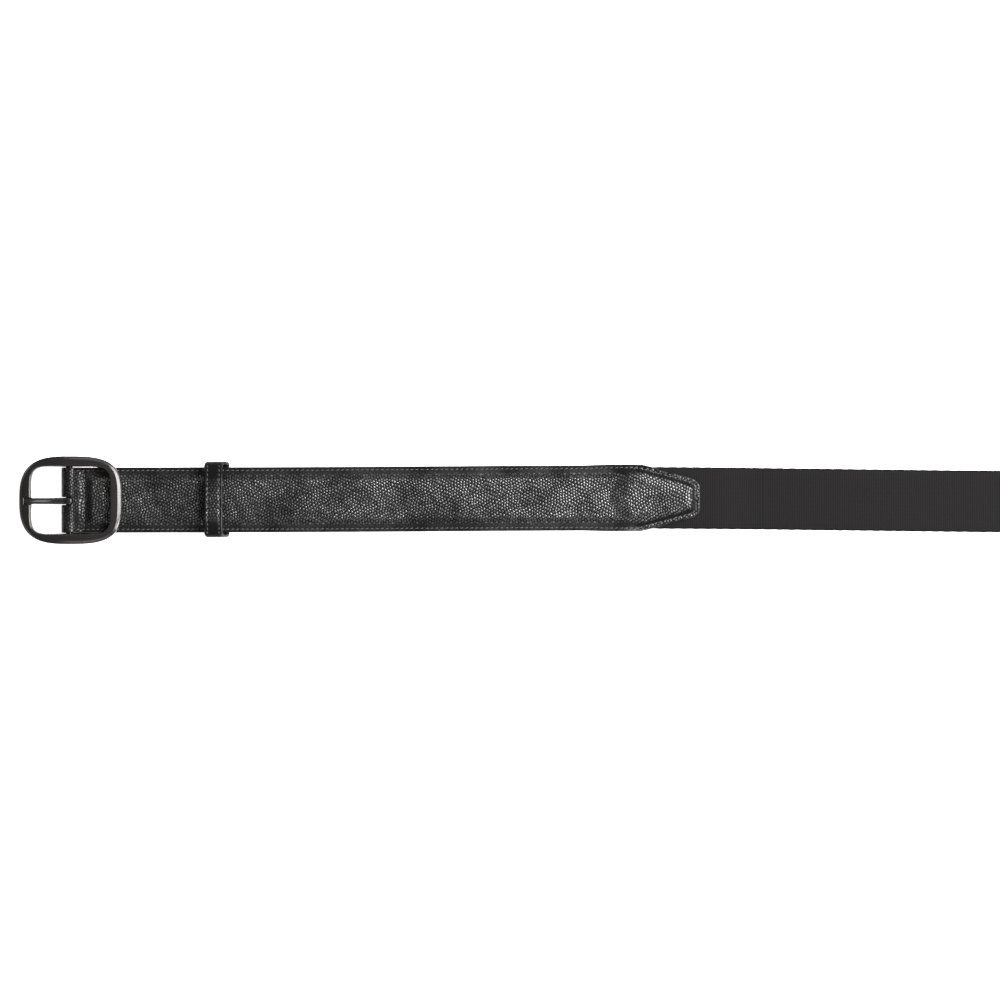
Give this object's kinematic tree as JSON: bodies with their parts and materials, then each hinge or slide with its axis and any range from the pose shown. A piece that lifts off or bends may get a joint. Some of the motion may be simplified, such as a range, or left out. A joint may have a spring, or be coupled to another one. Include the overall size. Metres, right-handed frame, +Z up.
{
  "type": "stretch riding belt",
  "caption": "Padded pebbled-leather strap with an oval centre-bar buckle, prong and keeper, sewn to ribbed elastic webbing and a punched leather tail.",
  "frame": {"origin": "under the middle of the belt's whole length, on the surface it lies on", "axes": "+X along the belt from the buckle to the tail's tip, +Y across the strap, +Z up out of the face leather"},
  "size_m": [1.0198, 0.0512, 0.0132],
  "materials": {
    "black_metal": "matte black coating, brighter on worn edges",
    "pebbled_leather": "pebbled, satin",
    "keeper_leather": "fine pebbled, satin",
    "lining_leather": "smooth, matte",
    "padding": "dense foam",
    "thread": "waxed twist",
    "webbing": "ribbed, matte",
    "staple_wire": "blackened"
  },
  "bodies": {
    "front": {"front_face_leather": "pebbled_leather", "front_filler": "padding", "front_lining": "lining_leather", "front_needle_thread": "thread", "front_bobbin_thread": "thread", "fold_thread": "thread"},
    "buckle": {"buckle_frame": "black_metal", "buckle_bar": "black_metal"},
    "prong": {"prong": "black_metal"},
    "keeper": {"keeper_band": "keeper_leather", "keeper_staples": "staple_wire", "keeper_thread": "thread"},
    "elastic": {"elastic_band": "webbing"},
    "tail": {"tail_face_leather": "pebbled_leather", "tail_filler": "padding", "tail_lining": "lining_leather", "tail_needle_thread": "thread", "tail_bobbin_thread": "thread"}
  },
  "joints": [
    {"name": "buckle_swing", "type": "hinge", "parent": "front", "child": "buckle", "pos_m": [-0.48011, 0, 0.0045], "axis": [0, 1, 0], "range_deg": [-95, 0]},
    {"name": "prong_swing", "type": "hinge", "parent": "buckle", "child": "prong", "pos_m": [-0.48011, 0, 0.0045], "axis": [0, 1, 0], "range_deg": [0, 95]},
    {"name": "keeper_slide", "type": "slide", "parent": "front", "child": "keeper", "axis": [1, 0, 0], "range_m": [-0.043, 0.215]},
    {"name": "elastic_bend", "type": "hinge", "parent": "front", "child": "elastic", "pos_m": [-0.10011, 0, 0.0035], "axis": [0, 1, 0], "range_deg": [-150, 150], "deforming": ["elastic_band"]},
    {"name": "elastic_stretch", "type": "slide", "parent": "elastic", "child": "tail", "axis": [1, 0, 0], "range_m": [0, 0.08], "stiffness_N_per_m": 450, "deforming": ["elastic_band"]}
  ]
}
